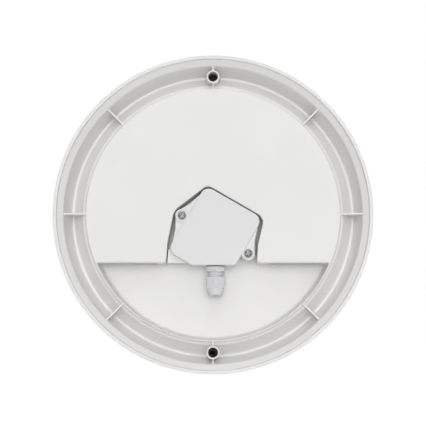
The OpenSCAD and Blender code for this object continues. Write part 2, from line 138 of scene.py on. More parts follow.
def offset(points, distance):
    """Offsets a counter-clockwise loop, outwards for a positive distance."""
    out = []
    for i, here in enumerate(points):
        before, after = points[i - 1], points[(i + 1) % len(points)]
        normal_in = Vector((here[1] - before[1], before[0] - here[0])).normalized()
        normal_out = Vector((after[1] - here[1], here[0] - after[0])).normalized()
        normal = normal_in + normal_out
        normal = normal.normalized() if normal.length > 1e-9 else normal_in
        mitre = 1 / max(0.35, normal.dot(normal_in))
        out.append((here[0] + normal.x * distance * mitre,
                    here[1] + normal.y * distance * mitre))
    return out


# ------------------------------------------------------------------ solids
def add_object(name, data):
    o = bpy.data.objects.new(name, data)
    SCENE.collection.objects.link(o)
    return o


def new_object(name, bm):
    bmesh.ops.recalc_face_normals(bm, faces=bm.faces)
    mesh = bpy.data.meshes.new(name)
    bm.to_mesh(mesh)
    bm.free()
    return add_object(name, mesh)


def bridge(bm, rows):
    """Joins consecutive closed rows of vertices with quads."""
    count = len(rows[0])
    for a, b in zip(rows, rows[1:]):
        for k in range(count):
            bm.faces.new((a[k], a[(k + 1) % count], b[(k + 1) % count], b[k]))


def fill(bm, verts, flat):
    """Fills a planar loop with well-shaped triangles; ear clipping where that fails."""
    got = delaunay_2d_cdt([Vector(p) for p in flat], [], [list(range(len(flat)))], 1, 1e-6)
    points, triangles, origins = got[0], got[2], got[3]
    if len(points) == len(flat) and len(triangles) == len(flat) - 2:
        for triangle in triangles:
            bm.faces.new([verts[origins[i][0]] for i in triangle])
    else:
        bmesh.ops.triangulate(bm, faces=[bm.faces.new(verts)], ngon_method="EAR_CLIP")


def loft(name, loops):
    """Closed solid through loops of equally many (x, y, z) points."""
    bm = bmesh.new()
    rows = [[bm.verts.new(to_world(*p)) for p in loop] for loop in loops]
    bridge(bm, rows)
    for i in (0, -1):
        fill(bm, rows[i], [p[:2] for p in loops[i]])
    return new_object(name, bm)


def prism(name, outline, z0, z1):
    return loft(name, [[(x, y, z) for x, y in outline] for z in (z0, z1)])


def block(name, x0, x1, y0, y1, z0, z1):
    return prism(name, [(x0, y0), (x1, y0), (x1, y1), (x0, y1)], z0, z1)


def cylinder(name, centre, radius, segments, z0, z1):
    return prism(name, circle(centre, radius, segments), z0, z1)


def round_slab(name, outline, z_rear, z_front, radius, segments=5):
    """Extruded outline whose rear edge is rounded."""
    loops = []
    for k in range(segments, -1, -1):
        t = k / segments * pi / 2
        z = z_rear + radius * (1 - sin(t))
        loops.append([(x, y, z) for x, y in offset(outline, -radius * (1 - cos(t)))])
    loops.append([(x, y, z_front) for x, y in outline])
    return loft(name, loops)


def revolve(name, profile, segments, place=to_world):
    """Turns a closed (radius, z) profile about the z axis."""
    bm = bmesh.new()
    rings = []
    for radius, z in profile:
        if radius < 1e-6:
            rings.append([bm.verts.new(place(0, 0, z))])
        else:
            rings.append([bm.verts.new(place(x, y, z))
                          for x, y in circle((0, 0), radius, segments)])
    for a, b in zip(rings, rings[1:] + rings[:1]):
        if len(a) == 1 and len(b) == 1:
            continue
        for k in range(segments):
            after = (k + 1) % segments
            if len(a) == 1:
                bm.faces.new((a[0], b[after], b[k]))
            elif len(b) == 1:
                bm.faces.new((a[k], a[after], b[0]))
            else:
                bm.faces.new((a[k], a[after], b[after], b[k]))
    return new_object(name, bm)


def radial_plate(name, profile, half_thickness):
    """Plate along the x axis from an (x, z) profile; half_thickness is a function of z."""
    bm = bmesh.new()
    rows = [[bm.verts.new(to_world(x, side * half_thickness(z), z)) for x, z in profile]
            for side in SIDES]
    bm.faces.new(rows[0])
    bm.faces.new(rows[1][::-1])
    bridge(bm, rows)
    return new_object(name, bm)


def gland_loft(name, loops):
    """Solid through loops of points in the gland's frame."""
    bm = bmesh.new()
    rows = [[bm.verts.new(on_gland(*p)) for p in loop] for loop in loops]
    bridge(bm, rows)
    bm.faces.new(rows[0][::-1])
    bm.faces.new(rows[-1])
    return new_object(name, bm)


# ------------------------------------------------------------------ changing meshes
def soften(o, width, segments, angle):
    """Rounds the edges sharper than angle."""
    bm = bmesh.new()
    bm.from_mesh(o.data)
    edges = [e for e in bm.edges
             if len(e.link_faces) == 2 and e.calc_face_angle(0) > radians(angle)]
    bmesh.ops.bevel(bm, geom=edges, offset=width * MM, offset_type="OFFSET",
                    segments=segments, profile=0.5, affect="EDGES", clamp_overlap=True)
    bm.to_mesh(o.data)
    bm.free()


def turn(o, degrees, centre=(0.0, 0.0)):
    """Turns a mesh about the z axis through centre, from x towards y."""
    angle = radians(degrees)
    for v in o.data.vertices:
        x, y = v.co.x / MM - centre[0], v.co.z / MM - centre[1]
        v.co.x = (centre[0] + x * cos(angle) - y * sin(angle)) * MM
        v.co.z = (centre[1] + x * sin(angle) + y * cos(angle)) * MM
    return o


def boolean(o, operation, *others):
    """Combines o with the other solids, which are used up."""
    for other in others:
        modifier = o.modifiers.new("bool", "BOOLEAN")
        modifier.operation = operation
        modifier.object = other
        modifier.solver = "MANIFOLD"
    depsgraph = bpy.context.evaluated_depsgraph_get()
    depsgraph.update()
    mesh = bpy.data.meshes.new_from_object(o.evaluated_get(depsgraph))
    o.modifiers.clear()
    old = o.data
    o.data = mesh
    bpy.data.meshes.remove(old)
    for other in others:
        data = other.data
        bpy.data.objects.remove(other)
        bpy.data.meshes.remove(data)


def join(name, objects):
    """Merges the meshes into the first object."""
    bm = bmesh.new()
    for o in objects:
        bm.from_mesh(o.data)
    bm.to_mesh(objects[0].data)
    bm.free()
    for o in objects[1:]:
        bpy.data.objects.remove(o)
    objects[0].name = name
    return objects[0]


def weigh_normals(o, keep_sharp):
    modifier = o.modifiers.new("weighted", "WEIGHTED_NORMAL")
    modifier.keep_sharp = keep_sharp
    modifier.weight = 80


def finish_piece(o, sharp_angle, body, slot, replaced):
    """Welds and shades a piece, then hands it over in place of a CAD node."""
    weld = 0.004 * MM
    bm = bmesh.new()
    bm.from_mesh(o.data)
    bmesh.ops.remove_doubles(bm, verts=bm.verts, dist=weld)
    bmesh.ops.dissolve_degenerate(bm, edges=bm.edges, dist=weld * 0.5)
    bm.to_mesh(o.data)
    bm.free()
    o.data.shade_smooth()
    o.data.set_sharp_from_angle(angle=radians(sharp_angle))
    weigh_normals(o, keep_sharp=True)
    o.data.materials.clear()
    o.data.materials.append(MATERIALS[slot])
    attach(o, body)
    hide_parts(replaced)


# ------------------------------------------------------------------ shader nodes
def node_material(name):
    material = bpy.data.materials.new(name)
    material.use_nodes = True
    tree = material.node_tree
    return material, tree, tree.nodes["Principled BSDF"]


def set_inputs(tree, node, inputs):
    """Sets each named input to a value, or links it when given a socket."""
    for key, value in inputs.items():
        if isinstance(value, bpy.types.NodeSocket):
            tree.links.new(value, node.inputs[key])
        else:
            node.inputs[key].default_value = value


def add_node(tree, kind, inputs):
    node = tree.nodes.new(kind)
    set_inputs(tree, node, inputs)
    return node


def object_coords(tree):
    return tree.nodes.new("ShaderNodeTexCoord").outputs["Object"]


def noise(tree, coords, scale, detail, roughness, stretch=None):
    if stretch:
        mapping = add_node(tree, "ShaderNodeMapping", {"Scale": stretch, "Vector": coords})
        coords = mapping.outputs["Vector"]
    inputs = {"Scale": scale, "Detail": detail, "Roughness": roughness, "Vector": coords}
    return add_node(tree, "ShaderNodeTexNoise", inputs).outputs["Fac"]


def remap(tree, value, source, target):
    inputs = {"From Min": source[0], "From Max": source[1],
              "To Min": target[0], "To Max": target[1], "Value": value}
    return add_node(tree, "ShaderNodeMapRange", inputs).outputs["Result"]


def mix(tree, factor, first, second):
    """Mixes two colours, each an (r, g, b) tuple or a socket."""
    node = tree.nodes.new("ShaderNodeMix")
    node.data_type = "RGBA"
    first, second = [(*c, 1) if isinstance(c, tuple) else c for c in (first, second)]
    # sockets 6 and 7 are the colours A and B, output 2 is the mixed colour
    set_inputs(tree, node, {"Factor": factor, 6: first, 7: second})
    return node.outputs[2]


def bump(tree, height, distance, normal=None):
    inputs = {"Strength": 1.0, "Distance": distance, "Height": height}
    if normal is not None:
        inputs["Normal"] = normal
    return add_node(tree, "ShaderNodeBump", inputs).outputs["Normal"]


def shade(color, factor):
    return tuple(min(1.0, c * factor) for c in color)


# ------------------------------------------------------------------ materials
# Relief depths (grain_depth, wave_depth, relief) are in metres.
def plastic(name, color, roughness=0.42, grain_scale=1400.0, grain_depth=0.000012,
            wave_depth=0.00004, variation=0.03, specular=0.5, subsurface=0.0, coat=0.0):
    """Moulded plastic: fine grain, faint waviness, slight variation of tone and gloss."""
    material, tree, bsdf = node_material(name)
    coords = object_coords(tree)
    broad = noise(tree, coords, scale=9.0, detail=3, roughness=0.55)
    patches = noise(tree, coords, scale=60.0, detail=4, roughness=0.6)
    grain = noise(tree, coords, scale=grain_scale, detail=2, roughness=0.5)
    tone = mix(tree, remap(tree, broad, source=(0.35, 0.65), target=(0.0, 1.0)),
               shade(color, 1 - variation), shade(color, 1 + variation * 0.5))
    tone = mix(tree, remap(tree, patches, source=(0.62, 0.78), target=(0.0, 0.10)),
               tone, shade(color, 0.93))
    gloss = remap(tree, patches, source=(0.3, 0.7), target=(roughness - 0.05, roughness + 0.06))
    set_inputs(tree, bsdf, {
        "Base Color": tone, "Roughness": gloss, "Specular IOR Level": specular,
        "Subsurface Weight": subsurface, "Coat Weight": coat, "Coat Roughness": 0.12,
        "Normal": bump(tree, broad, wave_depth, bump(tree, grain, grain_depth))})
    if subsurface > 0:
        set_inputs(tree, bsdf, {"Subsurface Radius": (0.002, 0.002, 0.002),
                                "Subsurface Scale": 1.0})
    return material


def metal(name, color, roughness, brush=(1, 1, 1), spots=0.0):
    """Metal with brushing stretched along the axes by brush, and optional dull spots."""
    scratch = 0.35  # contrast of the brushed lines
    material, tree, bsdf = node_material(name)
    coords = object_coords(tree)
    lines = noise(tree, coords, scale=700.0, detail=5, roughness=0.6, stretch=brush)
    tone = mix(tree, remap(tree, lines, source=(0.3, 0.7), target=(0.0, 1.0)),
               shade(color, 1 - scratch * 0.35), shade(color, 1 + scratch * 0.15))
    if spots > 0:
        patches = noise(tree, coords, scale=120.0, detail=4, roughness=0.6)
        tone = mix(tree, remap(tree, patches, source=(0.5, 0.68), target=(0.0, spots)),
                   tone, shade(color, 0.45))
    gloss = remap(tree, lines, source=(0.25, 0.75),
                  target=(max(0.05, roughness - 0.12), roughness + 0.15))
    set_inputs(tree, bsdf, {"Base Color": tone, "Metallic": 1.0, "Roughness": gloss,
                            "Normal": bump(tree, lines, distance=0.00001)})
    return material


def rubber(name, color):
    """Matt rubber with a fine grain and patches of pale dust."""
    dust_color = (0.16, 0.155, 0.15)
    material, tree, bsdf = node_material(name)
    coords = object_coords(tree)
    grain = noise(tree, coords, scale=1800.0, detail=3, roughness=0.6)
    dust = noise(tree, coords, scale=140.0, detail=5, roughness=0.65)
    cover = remap(tree, dust, source=(0.5, 0.8), target=(0.0, 0.35))
    set_inputs(tree, bsdf, {
        "Base Color": mix(tree, cover, color, dust_color),
        "Roughness": remap(tree, dust, source=(0.3, 0.8), target=(0.62, 0.85)),
        "Specular IOR Level": 0.35,
        "Normal": bump(tree, grain, distance=0.00003)})
    return material


def striped_metal(name, pattern, scale, distortion, dark, light, metallic, roughness, relief):
    """Metal in fine stripes; pattern is BANDS along the Y axis or RINGS around it."""
    material, tree, bsdf = node_material(name)
    wave = add_node(tree, "ShaderNodeTexWave", {
        "Scale": scale, "Distortion": distortion, "Vector": object_coords(tree)})
    wave.wave_type = pattern
    setattr(wave, pattern.lower() + "_direction", "Y")
    stripes = wave.outputs["Fac"]
    set_inputs(tree, bsdf, {"Base Color": mix(tree, stripes, dark, light),
                            "Metallic": metallic, "Roughness": roughness,
                            "Normal": bump(tree, stripes, relief)})
    return material


RECIPES = {
    "housing_plastic": (plastic, dict(color=(0.785, 0.78, 0.775), roughness=0.40,
                                      specular=0.45, variation=0.015)),
    "box_plastic": (plastic, dict(color=(0.78, 0.775, 0.77), roughness=0.5, specular=0.4)),
    "lid_plastic": (plastic, dict(color=(0.76, 0.755, 0.76), roughness=0.55, specular=0.4,
                                  grain_scale=1100.0, grain_depth=0.00002, variation=0.02)),
    "cover_plastic": (plastic, dict(color=(0.84, 0.835, 0.82), roughness=0.28, coat=0.25,
                                    grain_scale=900.0, grain_depth=0.000004,
                                    wave_depth=0.00003)),
    "gland_plastic": (plastic, dict(color=(0.69, 0.69, 0.70), roughness=0.45,
                                    subsurface=0.15, grain_depth=0.00001)),
    "impeller_plastic": (plastic, dict(color=(0.60, 0.61, 0.62), roughness=0.38)),
    "flap_plastic": (plastic, dict(color=(0.48, 0.48, 0.47), roughness=0.45)),
    "block_plastic": (plastic, dict(color=(0.62, 0.64, 0.65), roughness=0.3, subsurface=0.2)),
    "washer_plastic": (plastic, dict(color=(0.60, 0.52, 0.30), roughness=0.35)),
    "lead_sleeve": (plastic, dict(color=(0.38, 0.05, 0.035), roughness=0.32,
                                  grain_scale=500.0)),
    "capacitor_case": (plastic, dict(color=(0.03, 0.035, 0.05), roughness=0.3)),
    "black_rubber": (rubber, dict(color=(0.022, 0.022, 0.024))),
    "screw_steel": (metal, dict(color=(0.60, 0.61, 0.62), roughness=0.32, spots=0.2)),
    "lid_screw_steel": (metal, dict(color=(0.38, 0.375, 0.37), roughness=0.38, spots=0.55)),
    "zinc_steel": (metal, dict(color=(0.55, 0.57, 0.59), roughness=0.38, brush=(1, 6, 1),
                               spots=0.3)),
    "shaft_steel": (metal, dict(color=(0.70, 0.71, 0.72), roughness=0.18,
                                brush=(0.3, 6, 0.3))),
    "spring_steel": (metal, dict(color=(0.16, 0.16, 0.17), roughness=0.3)),
    "cage_aluminium": (metal, dict(color=(0.66, 0.67, 0.68), roughness=0.35, spots=0.2)),
    "bronze": (metal, dict(color=(0.48, 0.30, 0.13), roughness=0.42, spots=0.35)),
    "brass": (metal, dict(color=(0.74, 0.54, 0.22), roughness=0.28, spots=0.15)),
    "lamination_steel": (striped_metal, dict(
        pattern="BANDS", scale=320.0, distortion=0.3, dark=(0.12, 0.12, 0.13),
        light=(0.42, 0.42, 0.44), metallic=0.9, roughness=0.42, relief=0.00008)),
    "copper_winding": (striped_metal, dict(
        pattern="RINGS", scale=420.0, distortion=0.8, dark=(0.22, 0.07, 0.02),
        light=(0.68, 0.30, 0.11), metallic=0.75, roughness=0.28, relief=0.00018)),
}
MATERIALS = {name: make(name, **values) for name, (make, values) in RECIPES.items()}

# ------------------------------------------------------------------ recess of the housing
# An arc closed by a chord, with the pocket of the terminal box rising above the chord.
# Pocket corners, counter-clockwise from the chord's right end: x, y, rounding.
POCKET = [(44.0, -CHORD, 3.0), (*on_box(34.9, -28.6), 8), (*on_box(43.6, -2.5), 7),
          (*on_box(43.6, 3), 7), (5.1, 27.2, 7), (*on_box(-32.1, 36.9), 9),
          (-41.9, -29, 10), (-41.0, -CHORD, 3.0)]
REFLEX = (0, 6, 7)  # pocket corners whose rounding grows as the outline moves inwards

# Recess wall, as amounts for (arc, chord, pocket sides).
LIP = (1.0, 2.0, 1.3)         # rounding of the rear edge
FLOOR_ROUND = (2.2, 2.4, 0.9)
DRAFT = (1.0, 0.25, 0.0)
LIP_DEPTH, FLOOR_ROUND_DEPTH = 1.7, 4.2


def meet(p, d, q, e):
    """Where the line through p along d crosses the line through q along e."""
    k = ((q[0] - p[0]) * e[1] - (q[1] - p[1]) * e[0]) / (d[0] * e[1] - d[1] * e[0])
    return (p[0] + d[0] * k, p[1] + d[1] * k)


def recess_corners(arc_in, chord_in, side_in):
    """Recess outline with its arc, chord and pocket sides moved inwards."""
    radius, chord_y = RECESS_R - arc_in, -CHORD - chord_in
    half = sqrt(radius * radius - chord_y * chord_y)
    start, end = atan2(chord_y, -half), atan2(chord_y, half)
    angles = [start + (end - start) * k / 110 for k in range(111)]
    arc = [(radius * cos(a), radius * sin(a), 0) for a in angles]
    chord = ((0, chord_y), (1, 0))
    lines = [chord]
    for (x, y, _), (next_x, next_y, _) in zip(POCKET, POCKET[1:]):
        along = Vector((next_x - x, next_y - y)).normalized()
        lines.append(((x - along.y * side_in, y + along.x * side_in), along))
    lines.append(chord)
    pocket = []
    for i, (line, after) in enumerate(zip(lines, lines[1:])):
        growth = side_in if i in REFLEX else -side_in
        pocket.append((*meet(*line, *after), max(0.6, POCKET[i][2] + growth)))
    tips = [(*arc[i][:2], 0.7) for i in (0, -1)]
    return fillet([tips[0], *arc[2:-2], tips[1], *pocket], 8)


# Every level is divided like the first one, so that all have equally many points.
RECESS_COUNTS = edge_counts(recess_corners(*[-lip for lip in LIP]), 4)


def recess_outline(*insets):
    return subdivide(recess_corners(*insets), RECESS_COUNTS)


def recess_cavity():
    levels = [([-lip for lip in LIP], 3.0)]  # (insets, z) from the rear to the floor
    quarter = [k / 7 * pi / 2 for k in range(8)]
    for t in quarter:
        levels.append(([-lip * (1 - sin(t)) for lip in LIP],
                       DISC_Z + LIP_DEPTH * (1 - cos(t))))
    levels.append(([draft * 0.5 for draft in DRAFT], DISC_Z + 9.0))
    for t in quarter:
        levels.append(([draft + r * (1 - cos(t)) for r, draft in zip(FLOOR_ROUND, DRAFT)],
                       RECESS_Z - FLOOR_ROUND_DEPTH * (1 - sin(t))))
    levels.append(([draft + r + 0.6 for r, draft in zip(FLOOR_ROUND, DRAFT)], RECESS_Z))
    return loft("cavity", [[(x, y, z) for x, y in recess_outline(*insets)]
                           for insets, z in levels])


# ------------------------------------------------------------------ rear housing
# Half section: radius, z, rounding; rear face outwards, skirt, then back along the inside.
HOUSING_PROFILE = [
    (0, DISC_Z, 0), (DISC_R, DISC_Z, 1.5), (DISC_R + 0.5, DISC_Z + 3, 0.5),
    (DISC_R + 2.9, DISC_Z + 4.3, 0.6), (132.2, GROOVE_Z, 1.2), (134.4, GROOVE_Z, 1.2),
    (140.6, 5.4, 3.0), (RIM_R - 3.6, 2.2, 0.7), (RIM_R - 3, 0, 0.6), (RIM_R, 0, 0.7),
    (RIM_R, WALL, 0.4), (RIM_R - 4.5, WALL + 1.4, 0.8), (143.3, 7.2, 2.0),
    (136.8, GROOVE_Z + 3, 1.5), (136.4, SKIRT_Z, 0.4), (131.6, SKIRT_Z, 0.4),
    (131.6, SKIRT_Z - 2.5, 0.2), (133.9, SKIRT_Z - 5, 0.3), (133.6, GROOVE_Z + WALL + 1, 1),
    (130.6, GROOVE_Z + WALL, 1), (DISC_R - 1.4, DISC_Z + WALL, 0.8), (0, DISC_Z + WALL, 0)]
# Radial rib across the groove: radius, z.
RIB_PROFILE = [
    (DISC_R - 0.8, DISC_Z + 0.25), (DISC_R + 15, DISC_Z - 1.1), (141.2, 5.9), (141.6, 12),
    (135.6, GROOVE_Z + 1.2), (131.6, GROOVE_Z + 1.2), (DISC_R + 2.6, DISC_Z + 8),
    (DISC_R, DISC_Z + 4)]
# Web between an inlet boss and the skirt: radius, z.
INLET_WEB_PROFILE = [(INLET_BOSS_R, 32), (127, 32), (135, 36), (135, SKIRT_Z),
                     (INLET_BOSS_R, SKIRT_Z)]
# Fixing boss and the bore in it: radius, z, rounding.
FIXING_BOSS = [(0, 1.6, 0), (6.25, 1.6, 0.6), (6.55, SKIRT_Z, 0), (0, SKIRT_Z, 0)]
FIXING_BORE = [(0, 0.2, 0), (5.15, 0.2, 0), (5.15, 1.6, 0), (4.6, 2.15, 0.4),
               (4.55, SKIRT_Z - 2.5, 0.6), (0, SKIRT_Z - 2.5, 0)]
TUB_REAR_Z, TUB_TOP_R = 12.4, 120.1
WINDOW_X = (51.6, 102.0)          # extent of the slots in the recess's chord wall
SCREW_HOLE_R = 1.75               # in the bridge posts and the inlet bosses


def recess_tub():
    """Walls around the recess; towards the rear they stay within the disc."""
    wide = recess_outline(-WALL, -WALL, -WALL)
    upper = []
    for x, y in wide:
        shrink = min(1, TUB_TOP_R / hypot(x, y))
        upper.append((x * shrink, y * shrink))
    return [prism("tub", wide, TUB_REAR_Z, RECESS_Z + WALL),
            prism("tub_top", upper, 10.2, 13.4)]


def radial_ribs():
    ribs = []
    for k in range(8):
        rib = radial_plate("rib", RIB_PROFILE, lambda z: 0.78 * (1.0 if z < 20 else 1.12))
        soften(rib, width=0.28, segments=2, angle=50)
        ribs.append(turn(rib, k * 45))
    return ribs


def bridge_posts():
    """Posts for the motor bridge, each with two crossed gussets."""
    parts = []
    for angle in DIAGONALS:
        x, y = polar(BRIDGE_POST_R, angle)
        root = (DISC_Z if angle < 180 else RECESS_Z) + 2.0
        parts.append(cylinder("post", (x, y), 5, 40, root, 38))
        for quarter in (0, 90):
            gusset = block("gusset", x - 7.5, x + 7.5, y - 0.8, y + 0.8, root, 34)
            parts.append(turn(gusset, quarter + angle, (x, y)))
    return parts


def inlet_bosses():
    parts = []
    for angle in INLET_ANGLES:
        centre = polar(INLET_BOSS_R, angle)
        parts.append(cylinder("inlet_boss", centre, 4.2, 40, 32, SKIRT_Z))
        web = radial_plate("inlet_web", INLET_WEB_PROFILE, lambda z: 1)
        parts.append(turn(web, angle))
    return parts


def fixing_holes():
    parts = []
    for side in SIDES:
        centre = (0, side * FIXING_Y)
        parts.append(revolve("bore", fillet(FIXING_BORE, 5), 64, at(centre)))
        parts.append(cylinder("hole", centre, 2.75, 40, SKIRT_Z - 4.5, SKIRT_Z + 2))
    return parts


def recess_windows():
    """Slots through the chord wall, each with a pin bore along its front edge."""
    parts = []
    for side in SIDES:
        x0, x1 = sorted(side * x for x in WINDOW_X)
        parts.append(block("window", x0, x1, -CHORD - 2.5, -CHORD + 5, TUB_REAR_Z, 28.8))
        profile = [(0, x0 - 3), (1.05, x0 - 3), (1.05, x1 + 3), (0, x1 + 3)]
        parts.append(revolve("pin", profile, 24,
                             lambda x, y, z: to_world(z, -CHORD + 1.7 + y, 27 + x)))
    return parts


def small_holes():
    """Blind holes of posts and bosses, then the lead and screw holes of the pocket floor."""
    parts = [cylinder("post_hole", polar(BRIDGE_POST_R, a), SCREW_HOLE_R, 32, 33.2, 40)
             for a in DIAGONALS]
    parts += [cylinder("boss_hole", polar(INLET_BOSS_R, a), SCREW_HOLE_R, 32, 40, 56)
              for a in INLET_ANGLES]
    parts.append(cylinder("lead_hole", on_box(23.5, 16), 3.6, 40, 25, 36))
    parts += [cylinder("box_screw_hole", on_box(*p), 1.6, 32, 25, 36)
              for p in ((-20, 26), (14, -20))]
    return parts


def build_housing():
    housing = revolve("housing", fillet(HOUSING_PROFILE, 6), 288)
    bosses = [revolve("boss", fillet(FIXING_BOSS, 5), 64, at((0, side * FIXING_Y)))
              for side in SIDES]
    seat = block("capacitor_seat", -22, 22, 62, 82, DISC_Z + 2, DISC_Z + WALL + 3)
    boolean(housing, "UNION", *recess_tub(), *radial_ribs(), *bosses, *bridge_posts(),
            *inlet_bosses(), seat)
    seat_hollow = block("seat_hollow", -20, 20, 64, 80, DISC_Z + WALL, DISC_Z + WALL + 6)
    boolean(housing, "DIFFERENCE", recess_cavity(), seat_hollow, *fixing_holes(),
            *recess_windows(), *small_holes())
    finish_piece(housing, 32, "housing", "housing_plastic", "rear_housing")


# ------------------------------------------------------------------ terminal box lid
LID_REAR, LID_FRONT, EAR_REAR = 5.6, 9.7, 6.1  # z
# Lid panel: x, y, rounding.
LID_PANEL = [(*on_box(31.0, 35.75), 8), (*on_box(-31.0, 35.75), 8), (-21.1, FACET_Y, 4),
             (19.9, FACET_Y, 2.2), (*on_box(31.0, -35.75), 8)]
# Webs between ear and panel, by side, in the box frame: across, up, rounding.
EAR_WEBS = {
    -1: [(-24, 27.5, 0), (-30.9, 27.5, 3), (-32.8, 21, 6), (-35, 14, 9), (-41.6, 2.2, 2),
         (-36, -2, 0), (-24, -8, 0)],
    1: [(24, -27.5, 0), (30.9, -27.5, 3), (32.8, -21, 6), (35, -14, 9), (41.6, -2.2, 2),
        (41.6, 2.2, 2), (35, 14, 9), (32.8, 21, 6), (30.9, 27.5, 3), (24, 27.5, 0)]}
# Round ear and its screw well: radius, z, rounding.
EAR = [(0, EAR_REAR, 0), (6.25, EAR_REAR, 0.7), (6.3, LID_FRONT, 0), (0, LID_FRONT, 0)]
SCREW_WELL = [(0, 3, 0), (4.6, 3, 0), (4.6, 6.1, 0), (4.15, 6.55, 0.3), (4.1, 8.4, 0.4),
              (0, 8.4, 0)]
# Screw with domed head and shank: radius, z, rounding.
LID_SCREW = [(0, 6.1, 0), (2.2, 6.15, 2.0), (3.25, 6.9, 0.5), (3.3, 8.4, 0.15),
             (1.95, 8.4, 0), (1.95, 21.0, 0), (1.2, 22.0, 0.2), (0, 22.0, 0)]
RECESS_WING = ((5.0, 2.0, 0.52), (6.3, 1.95, 0.5), (7.9, 0.9, 0.3))  # z, half length, width
RECESS_CORE = [(0, 5.0), (1.15, 5.0), (1.1, 6.3), (0.55, 8.1), (0, 8.1)]  # radius, z


def build_lid():
    panel = fillet(LID_PANEL, 10)
    panel = subdivide(panel, edge_counts(panel, 6))
    lid = round_slab("terminal_lid_piece", panel, LID_REAR, LID_FRONT, 0.9)
    adds, cuts = [], []
    for side in SIDES:
        centre = on_box(side * EAR_OFFSET, 0)
        adds.append(revolve("ear", fillet(EAR, 5), 64, at(centre)))
        web = fillet([(*on_box(u, v), r) for u, v, r in EAR_WEBS[side]], 6)
        web = subdivide(web, edge_counts(web, 5))
        adds.append(round_slab("web", web, 7.6, LID_FRONT, 0.5, 3))
        cuts.append(revolve("well", fillet(SCREW_WELL, 4), 64, at(centre)))
        cuts.append(cylinder("screw_hole", centre, 2.2, 32, 7, 12))
    boolean(lid, "UNION", *adds)
    boolean(lid, "DIFFERENCE", *cuts)
    finish_piece(lid, 34, "box_lid", "lid_plastic", "terminal_lid")


def cross_recess(centre, twist):
    """Two tapered wings at right angles and a round core."""
    parts = []
    for angle in (0, 90):
        wing = loft("wing", [[(-x, -y, z), (x, -y, z), (x, y, z), (-x, y, z)]
                             for z, x, y in RECESS_WING])
        for v in wing.data.vertices:
            v.co.x += centre[0] * MM
            v.co.z += centre[1] * MM
        parts.append(turn(wing, angle + twist, centre))
    parts.append(revolve("core", RECESS_CORE, 24, at(centre)))
    return parts


def build_lid_screws():
    screws = []
    for side, twist in ((-1, 24), (1, -12)):
        centre = on_box(side * EAR_OFFSET, 0)
        screw = revolve("screw", fillet(LID_SCREW, 5), 56, at(centre))
        boolean(screw, "DIFFERENCE", *cross_recess(centre, twist))
        screws.append(screw)
    finish_piece(join("lid_screws_piece", screws), 28, "box_lid", "lid_screw_steel",
                 "lid_screws")


# ------------------------------------------------------------------ cable gland
# Profiles in the gland's frame: radius, z, rounding.
COLLAR_ENVELOPE = [(0, 0.8, 0), (8.6, 0.8, 0.3), (9.75, 1.6, 0.3), (9.75, 4.8, 0.3),
                   (8.5, 5.6, 0.3), (0, 5.6, 0)]
NUT_ENVELOPE = [(0, 10.4, 0), (8.0, 10.4, 0.3), (9.1, 11.4, 0.4), (9.1, 19.9, 0.6),
                (7.9, 21.6, 0.3), (0, 21.6, 0)]
NUT_NOSE = [(0, 19, 0), (7.55, 19, 0.2), (7.7, 23.6, 0.8), (7.55, 24.4, 1.4),
            (6.3, 28.1, 2.2), (0, 28.1, 0)]
NUT_BORE = [(0, 9, 0), (6.2, 9, 0), (6.2, 17.2, 0), (5.3, 25.4, 0), (4.4, 25.4, 0),
            (4.4, 30, 0), (0, 30, 0)]
THREAD_Z, THREAD_PITCH = (5.2, 10.0), 2.1
THREAD_ROOT, THREAD_HEIGHT, THREAD_SEGMENTS = 6.1, 0.78, 72


def gland_rod(name, radius, z0, z1, segments):
    return revolve(name, [(0, z0), (radius, z0), (radius, z1), (0, z1)], segments, on_gland)


def hex_prism(name, across_flats, corner, z0, z1):
    """Hexagon cut down to its chamfered envelope later on."""
    radius = across_flats / 2 / cos(radians(30))
    outline = fillet([(*polar(radius, 30.0 + 60 * k), corner) for k in range(6)], 4)
    return gland_loft(name, [[(x, y, z) for x, y in outline] for z in (z0, z1)])


def threaded_stub():
    """Stub with a helical thread."""
    z0, z1 = THREAD_Z
    steps = int((z1 - z0) / THREAD_PITCH * 10)
    rows = []
    for j in range(steps + 1):
        z = z0 + (z1 - z0) * j / steps
        row = []
        for k in range(THREAD_SEGMENTS):
            phase = (z / THREAD_PITCH + k / THREAD_SEGMENTS) % 1.0
            ramp = 1 - abs(2 * phase - 1)
            radius = THREAD_ROOT + THREAD_HEIGHT * min(1.0, max(0.0, ramp * 1.5 - 0.1))
            angle = 2 * pi * k / THREAD_SEGMENTS
            row.append((radius * cos(angle), radius * sin(angle), z))
        rows.append(row)
    return gland_loft("stub", rows)


def build_gland_body():
    body = hex_prism("gland_body_piece", 17.0, 0.5, 0.8, 5.6)
    boolean(body, "INTERSECT", revolve("envelope", fillet(COLLAR_ENVELOPE, 3), 72, on_gland))
    boolean(body, "UNION", gland_rod("upper_stub", 5.9, -6.6, 1.5, 64),
            gland_rod("lower_stub", 5.9, 9.0, 16.3, 64), threaded_stub())
    boolean(body, "DIFFERENCE", gland_rod("bore", 4.2, -8, 18, 56))
    finish_piece(body, 40, "housing", "gland_plastic", "gland_body")


def build_gland_nut():
    """Chamfered hexagon with a rounded nose."""
    nut = hex_prism("gland_nut_piece", 15.6, 0.7, 10.4, 21.6)
    boolean(nut, "INTERSECT", revolve("envelope", fillet(NUT_ENVELOPE, 3), 72, on_gland))
    boolean(nut, "UNION", revolve("nose", fillet(NUT_NOSE, 6), 72, on_gland))
    boolean(nut, "DIFFERENCE", revolve("bore", fillet(NUT_BORE, 2), 56, on_gland))
    finish_piece(nut, 30, "gland_cap", "gland_plastic", "gland_nut")


# Rubber bush in each fixing bore: radius, z, rounding.
BUSH = [(2.85, 12, 0.7), (4.5, 12, 0.35), (4.5, 20, 0.4), (2.85, 20, 0.4)]


